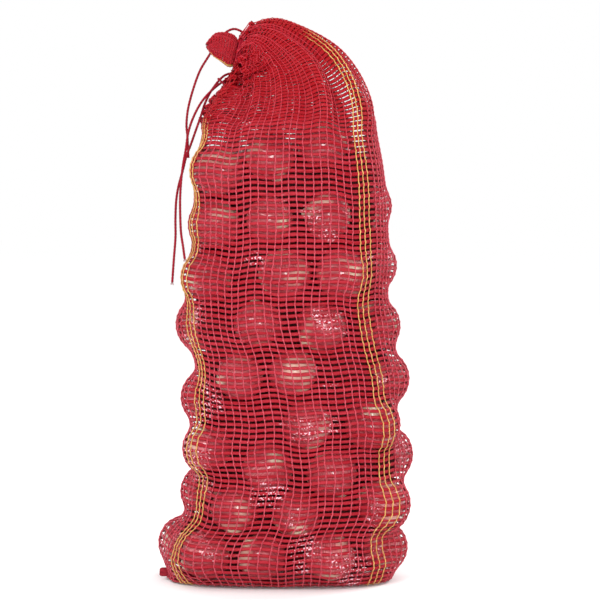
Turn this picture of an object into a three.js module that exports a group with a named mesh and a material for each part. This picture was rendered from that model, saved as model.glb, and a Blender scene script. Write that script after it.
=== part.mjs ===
// A tall drawstring sack of woven plastic netting, packed full of round bulbs and standing on its
// bottom seam. Its mouth is gathered by a drawstring, and the gather has flopped to the left.
// Millimetres, +Z up. The front of the sack faces -Y, and the origin is on the floor under the
// middle of its box.

import * as THREE from "three";

// ---- driving dimensions ---------------------------------------------------------------------

const NETTING_WALL = 1.5; // thickness of the solid that stands for the netting
const TOUCH_GAP = 0.4; // space between pieces that touch
const COLUMNS = 36; // grid columns round the sack
const CORNER_POWER = 2.6; // above 2, a section is squarer than an ellipse

const BODY_HEIGHT = 548; // the packed part, up to where the neck begins
const BODY_ROWS = 25;
const BODY_ROW_POWER = 1.15; // above 1, the rows are closer together near the floor
const UNDERSIDE_ROWS = 3; // of the body's rows, the ones that lie on the floor
const UNDERSIDE_DEPTH = 0.68; // the sack is this much of its full depth where it stands
const UNDERSIDE_RISE = 60; // and it fills out at this rate above the floor
const BODY_HALF_DEPTH = 78;
const SHOULDER_HALF_DEPTH = 64; // at the top of the packed part
const SHOULDER_START = 0.8; // share of the body's height where it begins to thin
const NECK_ROWS = 11;
const NECK_CLOSING = 1.15; // above 1, the neck thins out sooner on its way to the gather

const BULB_RADIUS = 32.5;
const BACK_BULB_RADIUS = 38;
const BULB_SPREAD = 0.04; // share by which the bulbs' sizes differ
const BULB_SIDES = 8;
const NETTING_OVER_BULB = 4.6; // from a bulb's surface to the outside of the netting's solid

const SEAM_HALF_WIDTH = 11; // the sewn hem lies flat under the sack
const SEAM_THICKNESS = 2.4;
const SEAM_LEFT = -151;
const SEAM_RIGHT = 140;
const SEAM_CORNER = 7; // its corners are cut back by this much
const SEAM_MARGIN = 4; // from the hem's end to the netting that is sewn into it
const SEAM_CLEARANCE = 6; // netting within this of the hem lies on top of it

const CINCH_TOP = new THREE.Vector3(-50, 0, 653);
const CINCH_BOTTOM = new THREE.Vector3(-59, 0, 614);
const CINCH_HALF_DEPTH = 10;
const CINCH_HOLE_SHARE = 0.3; // the pleats leave this share of the gather open at its middle
const COLLAR = 3.6; // straight stretch of the gather that the tie sits on
const COLLAR_ROWS = 2;

const RUFFLE_ROWS = 7;
const RUFFLE_BASE_HALF_DEPTH = 7;
const RUFFLE_RIM_HALF_DEPTH = 13;
const RUFFLE_RIM_OPEN_SHARE = 0.8; // of the mouth at the rim is open
const RUFFLE_PLEATS = 9;
const RUFFLE_PLEAT_DEPTH = 0.16; // share of the ruffle's radius

const CORD_DIAMETER = 3;
const CORD_SIDES = 8;
const CORD_STEP = 2.5; // a ring of vertices every so many diameters
const STUB_THICKNESS = 1.6;
const STUB_WIDTH = 5;
const TIE_TURNS = 2;

const MARKER_GAP = 0.6; // from the netting to the back of a group of marker yarns
const MARKER_THICKNESS = 0.8;
const MARKER_COLUMNS = { front_right: 3, front_left: 16, back_left: 21, back_right: 34 };
const MARKER_FIRST_ROW = 2;
const MARKER_LAST_ROW = BODY_ROWS + NECK_ROWS - 4;

// Side outlines of the packed part, [x, z], from the floor up. A bulb swells the bottom left.
const BODY_LEFT = [
  [-140, 0], [-155, 36], [-145, 66], [-125, 92], [-126, 110], [-122, 140], [-123, 225],
  [-118, 262], [-128, 312], [-125, 370], [-115, 412], [-111, 480], [-100, BODY_HEIGHT],
];
const BODY_RIGHT = [
  [134, 0], [149, 42], [150, 100], [153, 150], [144, 195], [149, 245], [139, 300],
  [134, 345], [134, 390], [128, 450], [123, 505], [112, BODY_HEIGHT],
];

// The neck's outlines go on from there: the left one is the inside of the bend, and the right one
// passes over the shoulder and the dome to the top of the gather.
const NECK_LEFT = [[-100, BODY_HEIGHT], [-87, 576], [-73, 589], [-61, 598], [-52.5, 606]];
const NECK_RIGHT = [
  [114, BODY_HEIGHT], [98, 592], [85, 616], [66, 640], [43, 654], [22, 665],
  [2, 676], [-14, 679], [-30, 675], [-43, 664],
];

// The ruffle's outlines, [x, z], from the tie out to its rim.
const RUFFLE_TOP = [[-55.8, 645.7], [-60, 655.5], [-71, 658], [-82, 656], [-90, 649]];
const RUFFLE_BOTTOM = [[-61, 623], [-68, 618], [-75, 621], [-81, 626], [-87, 631]];

// Where the bulbs lie, from the top down. The front ones, [x, z], press on the front of the
// netting, and the side ones, [x, y, z], push its sides out.
const FRONT_BULBS = [
  [40, 518], [-26, 508], [58, 444], [-16, 438], [4, 374], [66, 368],
  [-30, 316], [43, 312], [10, 258], [-52, 250], [27, 197], [-22, 140], [52, 134],
  [-56, 85], [14, 79], [-92, 36], [-25, 34], [52, 33],
];
const SIDE_BULBS = [
  [-76, -10, 492], [-82, 12, 430], [-90, -16, 368], [-95, 14, 310], [-92, 2, 226],
  [-89, -24, 170], [-93, 14, 108], [-121, 28, 40],
  [95, 4, 464], [102, 6, 380], [105, 10, 308], [116, 12, 245],
  [104, -26, 195], [120, 14, 149], [118, -18, 98], [117, 6, 42],
];
const BACK_BULB_COLUMNS = [-36, 42];
const BACK_BULB_ROWS = 7;
const BACK_BULB_PITCH = 75;
const BACK_BULB_SHIFT = 7; // each row lies a little to one side of the next
const FRONT_LAYER = -43; // y of the bulbs' centres
const BACK_LAYER = 37;

// Half of a bulb's section for a radius of 1: flat root plate below, short pinched neck above.
const BULB_PROFILE = [
  [0, -0.93], [0.15, -0.93], [0.74, -0.66], [0.99, -0.05],
  [0.77, 0.6], [0.28, 0.9], [0.1, 0.99], [0, 0.99],
];

// Both tails lie behind the gather, come out under the ruffle and hang down the left side.
const TAIL_LONG = [
  [-30, 33, 617], [-45, 28, 615], [-60, 20, 612], [-73, 12, 607], [-86, 4, 591], [-94, -2, 575],
  [-99, -6, 559], [-105, -9, 542], [-111, -11, 525], [-116, -12, 512], [-120, -13, 496],
  [-125, -14, 478], [-128, -15, 460], [-129, -16, 438], [-129, -17, 416], [-131, -18, 390],
  [-133, -18, 363],
];
const TAIL_SHORT = [
  [-30, 36.5, 611.5], [-45, 31.5, 609.5], [-60, 19, 606.5], [-74, 6, 600], [-87, -4, 589],
  [-98, -9, 576], [-107, -13, 559], [-113, -18, 541], [-116, -23, 520], [-119, -28, 502],
  [-121, -32, 484], [-122, -36, 466], [-122, -39, 448], [-121, -42, 424], [-118, -50, 406],
  [-116, -54.5, 393],
];

// A slack bight leaves the top of the gather, falls behind the ruffle and goes back to the sack.
const SLACK = [
  [-46, 16, 657], [-53, 20, 662], [-61, 23, 664], [-70, 24, 660], [-79, 24, 650], [-91, 22, 631],
  [-101, 19, 614], [-109, 16, 592], [-115, 14, 569], [-117, 13, 550], [-116, 13, 536],
  [-115.5, 14, 522], [-115, 15, 510],
];

// The flat end of the cord that sticks out under the tails.
const STUB = [[-79, -4, 606], [-75, -8, 601], [-72, -13, 595]];

const NETTING_LOOK = { color: "#c4213f", roughness: 0.45 };
const HEM_LOOK = { color: "#8f1228", roughness: 0.6 };
const MARKER_LOOK = { color: "#d9a441", roughness: 0.5 };
const CORD_LOOK = { color: "#8e1022", roughness: 0.6 };
const BULB_LOOKS = [
  { color: "#8c1d3c", roughness: 0.35 },
  { color: "#7a1733", roughness: 0.35 },
  { color: "#9b2645", roughness: 0.35 },
];

const sack = new THREE.Group();

function add(name, geometry, look) {
  const mesh = new THREE.Mesh(geometry, new THREE.MeshStandardMaterial({ ...look, metalness: 0 }));
  mesh.name = name;
  sack.add(mesh);
  return mesh;
}

// The same run of numbers between 0 and 1 every time.
function numberSource(seed) {
  let state = seed;
  return () => {
    state = (Math.imul(state, 1664525) + 1013904223) >>> 0;
    return state / 2 ** 32;
  };
}

// ---- outlines -------------------------------------------------------------------------------

function outline(points) {
  return new THREE.CatmullRomCurve3(points.map(([x, z]) => new THREE.Vector3(x, 0, z)));
}

// Out of the gather, to the left and a little up.
const neckAxis = CINCH_TOP.clone().sub(CINCH_BOTTOM).normalize().cross(new THREE.Vector3(0, 1, 0));

function alongNeck(point, distance) {
  return point.clone().addScaledVector(neckAxis, distance);
}

const collarTop = alongNeck(CINCH_TOP, -COLLAR);
const collarBottom = alongNeck(CINCH_BOTTOM, -COLLAR);
const bodyLeft = outline(BODY_LEFT);
const bodyRight = outline(BODY_RIGHT);
const neckLeft = outline([...NECK_LEFT, [collarBottom.x, collarBottom.z]]);
const neckRight = outline([...NECK_RIGHT, [collarTop.x, collarTop.z]]);
const ruffleTop = outline(RUFFLE_TOP);
const ruffleBottom = outline(RUFFLE_BOTTOM);

// The outline's x at a height, for an outline that only rises.
function xAtHeight(curve, z) {
  let low = 0;
  let high = 1;
  for (let step = 0; step < 20; step += 1) {
    const middle = (low + high) / 2;
    if (curve.getPoint(middle).z < z) low = middle;
    else high = middle;
  }
  return curve.getPoint((low + high) / 2).x;
}

function halfDepthAt(z) {
  const rise = THREE.MathUtils.smoothstep(z, SHOULDER_START * BODY_HEIGHT, BODY_HEIGHT);
  return THREE.MathUtils.lerp(BODY_HALF_DEPTH, SHOULDER_HALF_DEPTH, rise);
}

function roundedPower(value) {
  return Math.sign(value) * Math.abs(value) ** (2 / CORNER_POWER);
}

// One closed ring of the sack between its left and right outline points. Column 0 is at the
// right, and the columns pass over the front to the left and home over the back.
function ring(left, right, halfDepth) {
  const middle = left.clone().add(right).multiplyScalar(0.5);
  const half = right.clone().sub(left).multiplyScalar(0.5);
  const points = [];
  for (let column = 0; column < COLUMNS; column += 1) {
    const angle = (2 * Math.PI * column) / COLUMNS;
    const point = middle.clone().addScaledVector(half, roundedPower(Math.cos(angle)));
    point.y -= halfDepth * roundedPower(Math.sin(angle));
    points.push(point);
  }
  return points;
}

function ringMiddle(points) {
  const middle = new THREE.Vector3();
  for (const point of points) middle.add(point);
  return middle.divideScalar(points.length);
}

function shrinkRing(points, share) {
  const middle = ringMiddle(points);
  return points.map((point) => middle.clone().lerp(point, share));
}

// ---- bulbs ----------------------------------------------------------------------------------

// The bulbs press each other apart, the netting keeps them in, and each stays near its place.
function packBulbs() {
  const rounds = 400;
  const homing = 0.03;
  const bulbs = placeBulbs();
  for (let round = 0; round < rounds; round += 1) {
    separate(bulbs);
    for (const bulb of bulbs) {
      bulb.centre.lerp(bulb.home, homing);
      keepInside(bulb);
    }
  }
  shrinkToFit(bulbs);
  return bulbs;
}

function placeBulbs() {
  const random = numberSource(11);
  const bulbs = [];
  const place = (x, y, z, radius) => {
    const spread = THREE.MathUtils.lerp(-BULB_SPREAD, BULB_SPREAD, random());
    const home = new THREE.Vector3(x, y, z);
    bulbs.push({ radius: radius * (1 + spread), home, centre: home.clone() });
  };
  for (const [x, z] of FRONT_BULBS) place(x, FRONT_LAYER, z, BULB_RADIUS);
  for (const [x, y, z] of SIDE_BULBS) place(x, y, z, BULB_RADIUS);
  for (let row = 0; row < BACK_BULB_ROWS; row += 1) {
    const shift = row % 2 === 0 ? BACK_BULB_SHIFT : -BACK_BULB_SHIFT;
    const z = BACK_BULB_PITCH * (row + 0.5);
    for (const x of BACK_BULB_COLUMNS) place(x + shift, BACK_LAYER, z, BACK_BULB_RADIUS);
  }
  return bulbs;
}

function separate(bulbs) {
  for (let first = 0; first < bulbs.length; first += 1) {
    for (let second = first + 1; second < bulbs.length; second += 1) {
      const a = bulbs[first];
      const b = bulbs[second];
      const between = b.centre.clone().sub(a.centre);
      const overlap = a.radius + b.radius + TOUCH_GAP - between.length();
      if (overlap <= 0) continue;
      between.setLength(overlap / 2);
      a.centre.sub(between);
      b.centre.add(between);
    }
  }
}

function keepInside({ centre, radius }) {
  centre.z = Math.max(centre.z, radius + NETTING_OVER_BULB + TOUCH_GAP);
  const height = Math.min(centre.z, BODY_HEIGHT);
  const left = xAtHeight(bodyLeft, height);
  const right = xAtHeight(bodyRight, height);
  centre.x = THREE.MathUtils.clamp(centre.x, left + radius, right - radius);
  const share = Math.abs((2 * centre.x - left - right) / (right - left));
  const wall = halfDepthAt(height) * (1 - share ** CORNER_POWER) ** (1 / CORNER_POWER);
  const reach = Math.max(0, wall - radius);
  centre.y = THREE.MathUtils.clamp(centre.y, -reach, reach);
}

// Bulbs that still press on each other are made a little smaller, so that none overlap.
function shrinkToFit(bulbs) {
  for (const a of bulbs) {
    for (const b of bulbs) {
      if (a === b) continue;
      const room = a.centre.distanceTo(b.centre) - TOUCH_GAP;
      const together = a.radius + b.radius;
      if (together <= room) continue;
      a.radius *= room / together;
      b.radius *= room / together;
    }
  }
}

function bulbGeometry(radius) {
  const profile = BULB_PROFILE.map(([r, h]) => new THREE.Vector2(r * radius, h * radius));
  return new THREE.LatheGeometry(profile, BULB_SIDES).rotateX(Math.PI / 2);
}

function addBulbs(bulbs) {
  const random = numberSource(5);
  bulbs.forEach(({ centre, radius }, index) => {
    const name = `bulb_${String(index + 1).padStart(2, "0")}`;
    const mesh = add(name, bulbGeometry(radius), BULB_LOOKS[index % BULB_LOOKS.length]);
    mesh.position.copy(centre);
    mesh.rotation.set(Math.PI * random(), Math.PI * random(), 2 * Math.PI * random());
  });
}

// ---- netting --------------------------------------------------------------------------------

// The rings of the netting before it is drawn tight: from the sewn bottom, up the packed part,
// and round the bend of the neck to the gather.
function startingRings() {
  const sewnHeight = SEAM_THICKNESS + TOUCH_GAP + NETTING_WALL;
  const seamLeft = new THREE.Vector3(SEAM_LEFT + SEAM_MARGIN, 0, sewnHeight);
  const seamRight = new THREE.Vector3(SEAM_RIGHT - SEAM_MARGIN, 0, sewnHeight);
  const rings = [ring(seamLeft, seamRight, 1)];
  for (let row = 0; row < BODY_ROWS; row += 1) {
    const z = BODY_HEIGHT * (row / (BODY_ROWS - 1)) ** BODY_ROW_POWER;
    const left = new THREE.Vector3(xAtHeight(bodyLeft, z), 0, z);
    const right = new THREE.Vector3(xAtHeight(bodyRight, z), 0, z);
    const underside = Math.min(1, UNDERSIDE_DEPTH + z / UNDERSIDE_RISE);
    rings.push(ring(left, right, halfDepthAt(z) * underside));
  }
  for (let row = 1; row <= NECK_ROWS; row += 1) {
    const share = row / NECK_ROWS;
    const closing = (1 - share) ** NECK_CLOSING;
    const halfDepth = THREE.MathUtils.lerp(CINCH_HALF_DEPTH, SHOULDER_HALF_DEPTH, closing);
    rings.push(ring(neckLeft.getPointAt(share), neckRight.getPointAt(share), halfDepth));
  }
  rings.push(ring(CINCH_BOTTOM, CINCH_TOP, CINCH_HALF_DEPTH));
  return rings;
}

// How firmly a row keeps to its outline: the weight of the bulbs flattens the bottom on the floor,
// the packed part is free to follow the bulbs, and the empty neck keeps its form.
function holdAt(row) {
  if (row <= UNDERSIDE_ROWS) return 0.35;
  return row > BODY_ROWS ? 0.3 : 0.012;
}

// Draws the netting tight over the bulbs: each point moves to the middle of its neighbours, and
// out of any bulb that it would sink into.
function drawTight(rings, bulbs) {
  const rounds = 160;
  const pull = 0.5;
  const lastFree = rings.length - 1 - COLLAR_ROWS;
  const start = rings.map((points) => points.map((point) => point.clone()));
  for (let round = 0; round < rounds; round += 1) {
    for (let row = 1; row <= lastFree; row += 1) {
      for (let column = 0; column < COLUMNS; column += 1) {
        const point = rings[row][column];
        point.lerp(neighbourMiddle(rings, row, column), pull);
        point.lerp(start[row][column], holdAt(row));
        for (const { centre, radius } of bulbs) {
          const reach = radius + NETTING_OVER_BULB;
          if (point.distanceTo(centre) < reach) point.sub(centre).setLength(reach).add(centre);
        }
      }
    }
    clearFaces(rings, bulbs, lastFree);
    keepAboveFloor(rings, lastFree);
  }
  return rings;
}

function neighbourMiddle(rings, row, column) {
  const next = rings[row][(column + 1) % COLUMNS];
  const previous = rings[row][(column + COLUMNS - 1) % COLUMNS];
  const middle = rings[row - 1][column].clone().add(rings[row + 1][column]);
  return middle.add(next).add(previous).multiplyScalar(0.25);
}

// A face whose middle dips into a bulb moves out with its corners.
function clearFaces(rings, bulbs, lastFree) {
  const pairs = [[0, 3], [1, 2], [0, 1], [0, 2]];
  const reachOver = NETTING_WALL + 2 * TOUCH_GAP;
  for (let row = 1; row < lastFree; row += 1) {
    for (let column = 0; column < COLUMNS; column += 1) {
      const next = (column + 1) % COLUMNS;
      const below = rings[row];
      const above = rings[row + 1];
      const corners = [below[column], below[next], above[column], above[next]];
      const middles = pairs.map(([a, b]) => corners[a].clone().lerp(corners[b], 0.5));
      for (const { centre, radius } of bulbs) {
        for (const middle of middles) {
          const short = radius + reachOver - middle.distanceTo(centre);
          if (short <= 0) continue;
          const push = middle.clone().sub(centre).setLength(short);
          for (const corner of corners) corner.add(push);
        }
      }
    }
  }
}

function keepAboveFloor(rings, lastFree) {
  for (let row = 1; row <= lastFree; row += 1) {
    for (const point of rings[row]) {
      const overSeam = Math.abs(point.y) < SEAM_HALF_WIDTH + SEAM_CLEARANCE;
      point.z = Math.max(point.z, overSeam ? SEAM_THICKNESS + TOUCH_GAP : TOUCH_GAP);
    }
  }
}

// The direction out of the netting at each point of its rings.
function outwardDirections(rings) {
  return rings.map((points, row) =>
    points.map((_, column) => {
      const above = rings[Math.min(row + 1, rings.length - 1)][column];
      const below = rings[Math.max(row - 1, 0)][column];
      const next = points[(column + 1) % COLUMNS];
      const previous = points[(column + COLUMNS - 1) % COLUMNS];
      return above.clone().sub(below).cross(next.clone().sub(previous)).normalize();
    }),
  );
}

// A closed solid from grid faces. Points are shared by index, so that the surface is watertight.
class SolidBuilder {
  constructor() {
    this.positions = [];
    this.indices = [];
  }

  addPoint(point) {
    this.positions.push(point.x, point.y, point.z);
    return this.positions.length / 3 - 1;
  }

  // A face with two corners in the same place becomes one triangle.
  addFace(corners) {
    const [a, b, c, d] = corners.filter((corner, place) => corners.indexOf(corner) === place);
    this.indices.push(a, b, c);
    if (d !== undefined) this.indices.push(a, c, d);
  }

  geometry() {
    const made = new THREE.BufferGeometry();
    made.setAttribute("position", new THREE.Float32BufferAttribute(this.positions, 3));
    made.setIndex(this.indices);
    made.computeVertexNormals();
    return made;
  }
}

function addRingWalls(solid, rings, facesOut) {
  for (let row = 0; row + 1 < rings.length; row += 1) {
    for (let column = 0; column < COLUMNS; column += 1) {
      const next = (column + 1) % COLUMNS;
      const below = rings[row];
      const above = rings[row + 1];
      const corners = [below[column], below[next], above[next], above[column]];
      solid.addFace(facesOut ? corners.reverse() : corners);
    }
  }
}

function addRim(solid, outer, inner, atTop) {
  for (let column = 0; column < COLUMNS; column += 1) {
    const next = (column + 1) % COLUMNS;
    const corners = [outer[column], outer[next], inner[next], inner[column]];
    solid.addFace(atTop ? corners.reverse() : corners);
  }
}

// Closes the bottom ring by joining each front column to the back column behind it.
function addFlatCap(solid, points, facesDown) {
  for (let column = 0; column < COLUMNS / 2; column += 1) {
    const behind = (COLUMNS - column) % COLUMNS;
    const behindNext = COLUMNS - column - 1;
    const corners = [points[column], points[column + 1], points[behindNext], points[behind]];
    solid.addFace(facesDown ? corners : corners.reverse());
  }
}

// Two nested sets of rings make a wall that is open at the top. Below, it is closed by a flat
// bottom, or open too.
function shell(outerRings, innerRings, closedBelow) {
  const solid = new SolidBuilder();
  const outer = outerRings.map((points) => points.map((point) => solid.addPoint(point)));
  const inner = innerRings.map((points) => points.map((point) => solid.addPoint(point)));
  addRingWalls(solid, outer, true);
  addRingWalls(solid, inner, false);
  addRim(solid, outer[outer.length - 1], inner[inner.length - 1], true);
  if (closedBelow) {
    addFlatCap(solid, outer[0], true);
    addFlatCap(solid, inner[0], false);
  } else {
    addRim(solid, outer[0], inner[0], false);
  }
  return solid.geometry();
}

// The netting's inner face: one wall thickness in, except at the gather, where the bunched
// netting fills all but a small hole.
function innerFace(rings, directions) {
  const firstCollarRow = rings.length - COLLAR_ROWS;
  return rings.slice(1).map((points, index) => {
    const row = index + 1;
    if (row >= firstCollarRow) return shrinkRing(points, CINCH_HOLE_SHARE);
    return points.map((point, column) =>
      point.clone().addScaledVector(directions[row][column], -NETTING_WALL),
    );
  });
}

function addNetting(rings, directions) {
  add("mesh_body", shell(rings, innerFace(rings, directions), true), NETTING_LOOK);
}

// ---- marker yarns ---------------------------------------------------------------------------

// A group of yellow warp yarns is a thin ribbon that lies on one column of the netting. Its faces
// are split along the same diagonals as the netting's, so that it keeps its gap everywhere.
function markerRibbon(rings, directions, column) {
  const solid = new SolidBuilder();
  const lifts = [MARKER_GAP, MARKER_GAP + MARKER_THICKNESS];
  const sections = [];
  for (let row = MARKER_FIRST_ROW; row <= MARKER_LAST_ROW; row += 1) {
    const [near, far] = lifts.map((lift) =>
      [column, (column + 1) % COLUMNS].map((place) => {
        const point = rings[row][place].clone().addScaledVector(directions[row][place], lift);
        return solid.addPoint(point);
      }),
    );
    sections.push({ near, far });
  }
  sections.slice(1).forEach((upper, index) => {
    const lower = sections[index];
    solid.addFace([upper.near[0], lower.near[0], lower.near[1], upper.near[1]]);
    solid.addFace([upper.far[0], upper.far[1], lower.far[1], lower.far[0]]);
    solid.addFace([upper.near[0], upper.far[0], lower.far[0], lower.near[0]]);
    solid.addFace([lower.near[1], lower.far[1], upper.far[1], upper.near[1]]);
  });
  const first = sections[0];
  const last = sections[sections.length - 1];
  solid.addFace([first.near[0], first.far[0], first.far[1], first.near[1]]);
  solid.addFace([last.near[1], last.far[1], last.far[0], last.near[0]]);
  return solid.geometry();
}

function addMarkers(rings, directions) {
  for (const [place, column] of Object.entries(MARKER_COLUMNS)) {
    add(`marker_yarns_${place}`, markerRibbon(rings, directions, column), MARKER_LOOK);
  }
}

// ---- mouth ruffle ---------------------------------------------------------------------------

// The free edge of the mouth opens out beyond the tie in pleats.
function addRuffle() {
  const outerRings = [];
  const innerRings = [];
  for (let row = 0; row <= RUFFLE_ROWS; row += 1) {
    const share = row / RUFFLE_ROWS;
    const opening = Math.sqrt(share);
    const halfDepth = THREE.MathUtils.lerp(RUFFLE_BASE_HALF_DEPTH, RUFFLE_RIM_HALF_DEPTH, opening);
    const smooth = ring(ruffleBottom.getPointAt(share), ruffleTop.getPointAt(share), halfDepth);
    const centre = ringMiddle(smooth);
    const pleated = smooth.map((point, column) => {
      const wave = 1 - Math.cos((2 * Math.PI * RUFFLE_PLEATS * column) / COLUMNS);
      return centre.clone().lerp(point, 1 - (RUFFLE_PLEAT_DEPTH * share * wave) / 2);
    });
    const hole = THREE.MathUtils.lerp(CINCH_HOLE_SHARE, RUFFLE_RIM_OPEN_SHARE, opening);
    outerRings.push(pleated);
    innerRings.push(shrinkRing(pleated, hole));
  }
  add("mouth_ruffle", shell(outerRings, innerRings, false), NETTING_LOOK);
}

// ---- bottom seam ----------------------------------------------------------------------------

// A hem folded flat under the sack, with its corners cut back.
function addBottomSeam() {
  const shape = new THREE.Shape();
  shape.moveTo(SEAM_LEFT, -SEAM_HALF_WIDTH + SEAM_CORNER);
  shape.lineTo(SEAM_LEFT + SEAM_CORNER, -SEAM_HALF_WIDTH);
  shape.lineTo(SEAM_RIGHT - SEAM_CORNER, -SEAM_HALF_WIDTH);
  shape.lineTo(SEAM_RIGHT, -SEAM_HALF_WIDTH + SEAM_CORNER);
  shape.lineTo(SEAM_RIGHT, SEAM_HALF_WIDTH - SEAM_CORNER);
  shape.lineTo(SEAM_RIGHT - SEAM_CORNER, SEAM_HALF_WIDTH);
  shape.lineTo(SEAM_LEFT + SEAM_CORNER, SEAM_HALF_WIDTH);
  shape.lineTo(SEAM_LEFT, SEAM_HALF_WIDTH - SEAM_CORNER);
  shape.closePath();
  const geometry = new THREE.ExtrudeGeometry(shape, { depth: SEAM_THICKNESS, bevelEnabled: false });
  add("bottom_seam", geometry, HEM_LOOK);
}

// ---- drawstring -----------------------------------------------------------------------------

function cordSection(width, height) {
  const section = new THREE.Shape();
  for (let side = 0; side < CORD_SIDES; side += 1) {
    const angle = (2 * Math.PI * side) / CORD_SIDES;
    const x = (width / 2) * Math.cos(angle);
    const y = (height / 2) * Math.sin(angle);
    if (side === 0) section.moveTo(x, y);
    else section.lineTo(x, y);
  }
  section.closePath();
  return section;
}

function addCord(name, points, width = CORD_DIAMETER, height = CORD_DIAMETER) {
  const path = new THREE.CatmullRomCurve3(points.map((point) => new THREE.Vector3(...point)));
  const steps = Math.max(4, Math.round(path.getLength() / (CORD_STEP * CORD_DIAMETER)));
  const settings = { extrudePath: path, steps, bevelEnabled: false };
  add(name, new THREE.ExtrudeGeometry(cordSection(width, height), settings), CORD_LOOK);
}

// One section of the tie: a flat oval across the drawstring's turns, which lie side by side.
function tieSection(angle) {
  const middle = CINCH_TOP.clone().lerp(CINCH_BOTTOM, 0.5);
  const upwards = CINCH_TOP.clone().sub(middle);
  const halfWidth = (TIE_TURNS * CORD_DIAMETER) / 2;
  const outside = CORD_DIAMETER / 2 + TOUCH_GAP;
  const points = [];
  for (let side = 0; side < CORD_SIDES; side += 1) {
    const turn = (2 * Math.PI * side) / CORD_SIDES;
    const reach = outside + (CORD_DIAMETER / 2) * Math.sin(turn);
    const height = (upwards.length() + reach) * roundedPower(Math.cos(angle));
    const point = alongNeck(middle, halfWidth * (Math.cos(turn) - 0.1));
    point.addScaledVector(upwards.clone().normalize(), height);
    point.y -= (CINCH_HALF_DEPTH + reach) * roundedPower(Math.sin(angle));
    points.push(point);
  }
  return points;
}

function addTie() {
  const solid = new SolidBuilder();
  const sections = [];
  for (let place = 0; place < COLUMNS; place += 1) {
    const points = tieSection((2 * Math.PI * place) / COLUMNS);
    sections.push(points.map((point) => solid.addPoint(point)));
  }
  sections.forEach((here, place) => {
    const there = sections[(place + 1) % COLUMNS];
    for (let side = 0; side < CORD_SIDES; side += 1) {
      const after = (side + 1) % CORD_SIDES;
      solid.addFace([here[side], there[side], there[after], here[after]]);
    }
  });
  add("neck_tie", solid.geometry(), CORD_LOOK);
}

function addDrawstring() {
  addTie();
  addCord("drawstring_tail_long", TAIL_LONG);
  addCord("drawstring_tail_short", TAIL_SHORT);
  addCord("drawstring_slack", SLACK);
  addCord("drawstring_stub", STUB, STUB_THICKNESS, STUB_WIDTH);
}

// ---- the whole sack -------------------------------------------------------------------------

const bulbs = packBulbs();
const rings = drawTight(startingRings(), bulbs);
const directions = outwardDirections(rings);
addNetting(rings, directions);
addMarkers(rings, directions);
addRuffle();
addBottomSeam();
addDrawstring();
addBulbs(bulbs);

export default sack;
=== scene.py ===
"""The looks of a tall netting sack that is packed with papery bulbs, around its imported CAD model.

Metres, +Z up, and the front faces -Y, as in the CAD. The netting is drawn tight over the bulbs by
a small solver for woven threads, and then every tape and every twisted warp is laid along it.
"""

import math

import bmesh
import bpy
import numpy as np
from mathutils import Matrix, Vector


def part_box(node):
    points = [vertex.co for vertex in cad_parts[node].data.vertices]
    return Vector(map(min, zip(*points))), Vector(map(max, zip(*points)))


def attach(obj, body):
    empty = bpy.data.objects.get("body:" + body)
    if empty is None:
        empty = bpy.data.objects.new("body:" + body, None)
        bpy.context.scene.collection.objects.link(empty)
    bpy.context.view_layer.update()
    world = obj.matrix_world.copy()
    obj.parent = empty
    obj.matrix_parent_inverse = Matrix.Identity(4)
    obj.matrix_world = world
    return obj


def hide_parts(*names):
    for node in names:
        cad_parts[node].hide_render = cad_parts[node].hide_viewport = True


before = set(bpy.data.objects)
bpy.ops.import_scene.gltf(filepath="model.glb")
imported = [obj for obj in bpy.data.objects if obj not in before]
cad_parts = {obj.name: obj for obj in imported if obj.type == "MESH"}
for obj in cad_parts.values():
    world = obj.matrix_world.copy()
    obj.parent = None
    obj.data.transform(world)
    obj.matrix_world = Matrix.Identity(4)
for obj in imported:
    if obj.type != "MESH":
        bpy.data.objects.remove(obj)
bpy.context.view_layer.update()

MM = 0.001


def place_object(name, data):
    """An object in the scene that shows some data, such as a mesh or a light."""
    made = bpy.data.objects.new(name, data)
    bpy.context.scene.collection.objects.link(made)
    return made


# ---- camera ----

CAMERA_AIM = np.array([19, 0, 340]) * MM
CAMERA_ELEVATION = math.radians(4.5)
CAMERA_DISTANCE = 2.4
VIEW_WIDTH = 0.72  # at the aim point


def make_camera():
    camera = place_object("camera", bpy.data.cameras.new("camera"))
    back = np.array([0, -math.cos(CAMERA_ELEVATION), math.sin(CAMERA_ELEVATION)])
    camera.location = CAMERA_AIM + CAMERA_DISTANCE * back
    camera.rotation_euler = (math.pi / 2 - CAMERA_ELEVATION, 0, 0)
    camera.data.angle = 2 * math.atan(VIEW_WIDTH / 2 / CAMERA_DISTANCE)
    bpy.context.scene.camera = camera


make_camera()


# ---- curves and meshes ----

def unit(vectors):
    lengths = np.linalg.norm(vectors, axis=-1, keepdims=True)
    return vectors / np.maximum(lengths, 1e-9)


def smooth_step(values, low, high):
    share = np.clip((values - low) / (high - low), 0, 1)
    return share * share * (3 - 2 * share)


def spline(a, b, c, d, share):
    """A smooth curve from b to c, with a before it and d after it."""
    return 0.5 * (2 * b + (c - a) * share + (2 * a - 5 * b + 4 * c - d) * share**2
                  + (3 * b - a - 3 * c + d) * share**3)


def curve_through(points, fineness=24):
    """A smooth dense polyline through the points."""
    points = np.asarray(points, float)
    before = 2 * points[0] - points[1]
    after = 2 * points[-1] - points[-2]
    held = np.vstack([before, points, after])
    share = (np.arange(fineness) / fineness)[:, None]
    pieces = [spline(*held[first:first + 4], share) for first in range(len(held) - 3)]
    return np.vstack([*pieces, points[-1:]])


def lengths_along(line):
    steps = np.linalg.norm(np.diff(line, axis=0), axis=1)
    return np.concatenate([[0], np.cumsum(steps)])


def points_at(line, distances):
    """Points of a polyline at distances from its start."""
    along = lengths_along(line)
    columns = [np.interp(distances, along, line[:, axis]) for axis in range(line.shape[1])]
    return np.stack(columns, axis=-1)


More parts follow.
